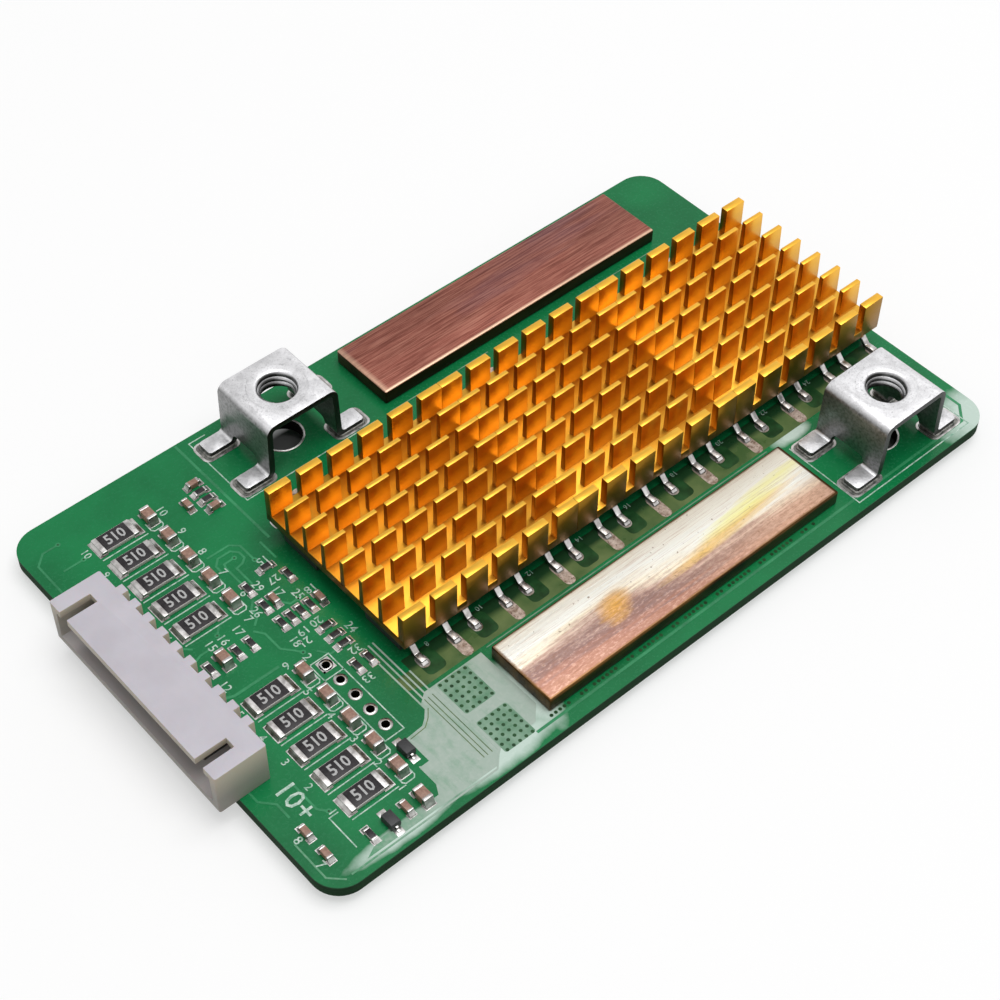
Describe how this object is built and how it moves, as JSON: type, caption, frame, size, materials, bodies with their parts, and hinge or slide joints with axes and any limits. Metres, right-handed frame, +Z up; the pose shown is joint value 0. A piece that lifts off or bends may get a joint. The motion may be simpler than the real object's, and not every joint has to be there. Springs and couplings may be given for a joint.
{
  "type": "battery management board",
  "caption": "Flat green circuit board with a gold finned heatsink, copper current bars, folded screw terminals and a side-entry connector for the cell leads.",
  "frame": {"origin": "centre of the bounding box, at the tips of the connector's solder tails, the lowest point", "axes": "+X along the board, from the cell connector to the far end; +Y across it, to the side with the left terminal; +Z up, to the component side"},
  "size_m": [0.1024, 0.06, 0.0113],
  "materials": {
    "solder_mask": "green solder mask over glass-epoxy laminate",
    "gold_anodised": "gold anodised, satin",
    "silicone_pad": "grey silicone",
    "bright_copper": "brushed and bright, with lengthwise stains",
    "dull_copper": "brushed and dulled",
    "tinned_sheet": "tin plated",
    "white_nylon": "moulded, slightly translucent",
    "tinned_wire": "tin plated",
    "resistor_black": "black glaze on alumina",
    "capacitor_brown": "fired ceramic, satin",
    "black_moulding": "epoxy moulding"
  },
  "bodies": {
    "root": {"balance_resistor_01": "resistor_black", "balance_resistor_02": "resistor_black", "balance_resistor_03": "resistor_black", "balance_resistor_04": "resistor_black", "balance_resistor_05": "resistor_black", "balance_resistor_06": "resistor_black", "balance_resistor_07": "resistor_black", "balance_resistor_08": "resistor_black", "balance_resistor_09": "resistor_black", "balance_resistor_10": "resistor_black", "chip_capacitors": "capacitor_brown", "chip_resistors": "resistor_black", "circuit_board": "solder_mask", "connector_housing": "white_nylon", "connector_pins": "tinned_wire", "filter_capacitor_01": "capacitor_brown", "filter_capacitor_02": "capacitor_brown", "filter_capacitor_03": "capacitor_brown", "filter_capacitor_04": "capacitor_brown", "filter_capacitor_05": "capacitor_brown", "filter_capacitor_06": "capacitor_brown", "filter_capacitor_07": "capacitor_brown", "filter_capacitor_08": "capacitor_brown", "filter_capacitor_09": "capacitor_brown", "filter_capacitor_10": "capacitor_brown", "front_copper_bar": "bright_copper", "front_transistor_01": "black_moulding", "front_transistor_02": "black_moulding", "front_transistor_03": "black_moulding", "front_transistor_04": "black_moulding", "front_transistor_05": "black_moulding", "front_transistor_06": "black_moulding", "front_transistor_07": "black_moulding", "front_transistor_08": "black_moulding", "front_transistor_09": "black_moulding", "front_transistor_10": "black_moulding", "heatsink_centre": "gold_anodised", "heatsink_left": "gold_anodised", "heatsink_right": "gold_anodised", "left_diode": "black_moulding", "left_terminal": "tinned_sheet", "monitor_chip": "black_moulding", "rear_copper_bar": "dull_copper", "rear_transistor_01": "black_moulding", "rear_transistor_02": "black_moulding", "rear_transistor_03": "black_moulding", "rear_transistor_04": "black_moulding", "rear_transistor_05": "black_moulding", "rear_transistor_06": "black_moulding", "rear_transistor_07": "black_moulding", "rear_transistor_08": "black_moulding", "rear_transistor_09": "black_moulding", "rear_transistor_10": "black_moulding", "right_diode": "black_moulding", "right_terminal": "tinned_sheet", "shunt_resistors": "resistor_black", "thermal_pad": "silicone_pad"}
  },
  "joints": []
}
